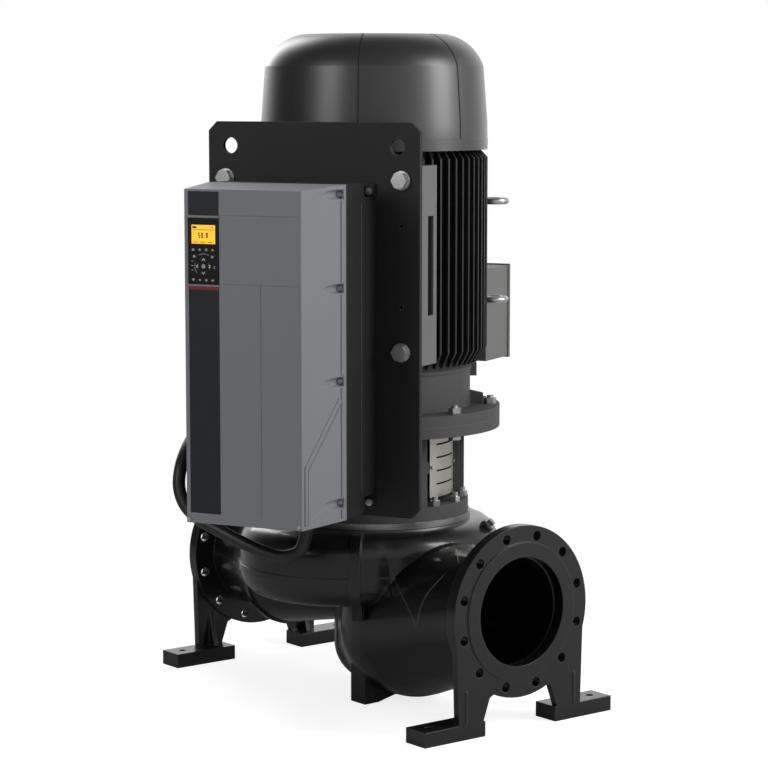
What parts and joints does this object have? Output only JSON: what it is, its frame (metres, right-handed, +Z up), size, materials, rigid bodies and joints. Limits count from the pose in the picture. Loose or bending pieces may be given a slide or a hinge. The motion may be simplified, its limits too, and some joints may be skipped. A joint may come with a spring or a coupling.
{
  "type": "in-line circulation pump",
  "caption": "In-line circulation pump with flanged ports, legs, a vertical finned motor on a lantern stool and a drive cabinet with a keypad on a plate in front.",
  "frame": {"origin": "on the floor midway between the port faces and between the feet, at the centre of the foundation bolt pattern", "axes": "+X along the pipe from the discharge port to the suction port, +Y to the back, away from the drive, +Z up along the shaft"},
  "size_m": [1.058, 1.124, 1.5761],
  "materials": {
    "black_casting": "glossy",
    "grey_casting": "satin, textured",
    "machined_steel": "machined",
    "zinc": "zinc plated",
    "bronze": "machined",
    "stainless": "brushed",
    "seal_dark": "matte",
    "guard_sheet": "brushed",
    "black_motor": "satin",
    "black_hood": "glossy",
    "grey_box": "satin",
    "black_plate": "textured powder coat",
    "grey_bracket": "satin",
    "black_drive": "satin",
    "drive_grey": "satin",
    "column_dark": "satin",
    "keypad_black": "satin",
    "display_amber": "backlit",
    "light_lens": "lens",
    "key_rubber": "matte",
    "gland_black": "matte",
    "cable_black": "matte",
    "core_steel": "laminated",
    "fan_plastic": "matte"
  },
  "bodies": {
    "pump": {"pump_housing": "black_casting", "wear_ring": "bronze", "housing_plugs": "machined_steel", "pump_cover": "machined_steel", "seal_seat": "stainless", "motor_stool": "grey_casting", "stool_studs": "zinc", "coupling_guards": "guard_sheet", "guard_screws": "zinc", "pair_bolts": "zinc", "motor_flange": "grey_casting", "motor_frame": "black_motor", "motor_end_shield": "black_motor", "stator": "core_steel", "motor_bearings": "stainless", "fan_cover": "black_hood", "terminal_box": "grey_box", "terminal_lid": "grey_box", "case_screws": "zinc", "eye_bolts": "zinc", "mounting_plate": "black_plate", "side_brackets": "grey_bracket", "plate_bolts": "zinc", "drive_chassis": "black_drive", "drive_screws": "zinc", "drive_cover": "drive_grey", "cover_screws": "zinc", "upper_panel": "column_dark", "lower_panel": "column_dark", "keypad_case": "keypad_black", "keypad_display": "display_amber", "keypad_lights": "light_lens", "cable_glands": "gland_black", "motor_cable": "cable_black"},
    "rotor": {"pump_shaft": "stainless", "impeller": "bronze", "impeller_nut": "stainless", "seal_ring": "seal_dark", "coupling": "grey_casting", "coupling_bolts": "zinc", "motor_shaft": "machined_steel", "rotor_core": "core_steel", "cooling_fan": "fan_plastic"},
    "key_1": {"key_1": "key_rubber"},
    "key_2": {"key_2": "key_rubber"},
    "key_3": {"key_3": "key_rubber"},
    "key_4": {"key_4": "key_rubber"},
    "key_back": {"key_back": "key_rubber"},
    "key_cancel": {"key_cancel": "key_rubber"},
    "key_info": {"key_info": "key_rubber"},
    "key_up": {"key_up": "key_rubber"},
    "key_down": {"key_down": "key_rubber"},
    "key_left": {"key_left": "key_rubber"},
    "key_right": {"key_right": "key_rubber"},
    "key_ok": {"key_ok": "key_rubber"},
    "key_hand": {"key_hand": "key_rubber"},
    "key_off": {"key_off": "key_rubber"},
    "key_auto": {"key_auto": "key_rubber"},
    "key_reset": {"key_reset": "key_rubber"}
  },
  "joints": [
    {"name": "rotor_spin", "type": "hinge", "parent": "pump", "child": "rotor", "pos_m": [-0.0145, 0, 0.6], "axis": [0, 0, 1], "continuous": true},
    {"name": "key_1_press", "type": "slide", "parent": "pump", "child": "key_1", "axis": [-0.4478, 0.8942, 0], "range_m": [0, 0.0008], "stiffness_N_per_m": 800, "springref_m": -0.0004},
    {"name": "key_2_press", "type": "slide", "parent": "pump", "child": "key_2", "axis": [-0.4478, 0.8942, 0], "range_m": [0, 0.0008], "stiffness_N_per_m": 800, "springref_m": -0.0004},
    {"name": "key_3_press", "type": "slide", "parent": "pump", "child": "key_3", "axis": [-0.4478, 0.8942, 0], "range_m": [0, 0.0008], "stiffness_N_per_m": 800, "springref_m": -0.0004},
    {"name": "key_4_press", "type": "slide", "parent": "pump", "child": "key_4", "axis": [-0.4478, 0.8942, 0], "range_m": [0, 0.0008], "stiffness_N_per_m": 800, "springref_m": -0.0004},
    {"name": "key_back_press", "type": "slide", "parent": "pump", "child": "key_back", "axis": [-0.4478, 0.8942, 0], "range_m": [0, 0.0008], "stiffness_N_per_m": 800, "springref_m": -0.0004},
    {"name": "key_cancel_press", "type": "slide", "parent": "pump", "child": "key_cancel", "axis": [-0.4478, 0.8942, 0], "range_m": [0, 0.0008], "stiffness_N_per_m": 800, "springref_m": -0.0004},
    {"name": "key_info_press", "type": "slide", "parent": "pump", "child": "key_info", "axis": [-0.4478, 0.8942, 0], "range_m": [0, 0.0008], "stiffness_N_per_m": 800, "springref_m": -0.0004},
    {"name": "key_up_press", "type": "slide", "parent": "pump", "child": "key_up", "axis": [-0.4478, 0.8942, 0], "range_m": [0, 0.0008], "stiffness_N_per_m": 800, "springref_m": -0.0004},
    {"name": "key_down_press", "type": "slide", "parent": "pump", "child": "key_down", "axis": [-0.4478, 0.8942, 0], "range_m": [0, 0.0008], "stiffness_N_per_m": 800, "springref_m": -0.0004},
    {"name": "key_left_press", "type": "slide", "parent": "pump", "child": "key_left", "axis": [-0.4478, 0.8942, 0], "range_m": [0, 0.0008], "stiffness_N_per_m": 800, "springref_m": -0.0004},
    {"name": "key_right_press", "type": "slide", "parent": "pump", "child": "key_right", "axis": [-0.4478, 0.8942, 0], "range_m": [0, 0.0008], "stiffness_N_per_m": 800, "springref_m": -0.0004},
    {"name": "key_ok_press", "type": "slide", "parent": "pump", "child": "key_ok", "axis": [-0.4478, 0.8942, 0], "range_m": [0, 0.0008], "stiffness_N_per_m": 800, "springref_m": -0.0004},
    {"name": "key_hand_press", "type": "slide", "parent": "pump", "child": "key_hand", "axis": [-0.4478, 0.8942, 0], "range_m": [0, 0.0008], "stiffness_N_per_m": 800, "springref_m": -0.0004},
    {"name": "key_off_press", "type": "slide", "parent": "pump", "child": "key_off", "axis": [-0.4478, 0.8942, 0], "range_m": [0, 0.0008], "stiffness_N_per_m": 800, "springref_m": -0.0004},
    {"name": "key_auto_press", "type": "slide", "parent": "pump", "child": "key_auto", "axis": [-0.4478, 0.8942, 0], "range_m": [0, 0.0008], "stiffness_N_per_m": 800, "springref_m": -0.0004},
    {"name": "key_reset_press", "type": "slide", "parent": "pump", "child": "key_reset", "axis": [-0.4478, 0.8942, 0], "range_m": [0, 0.0008], "stiffness_N_per_m": 800, "springref_m": -0.0004}
  ]
}
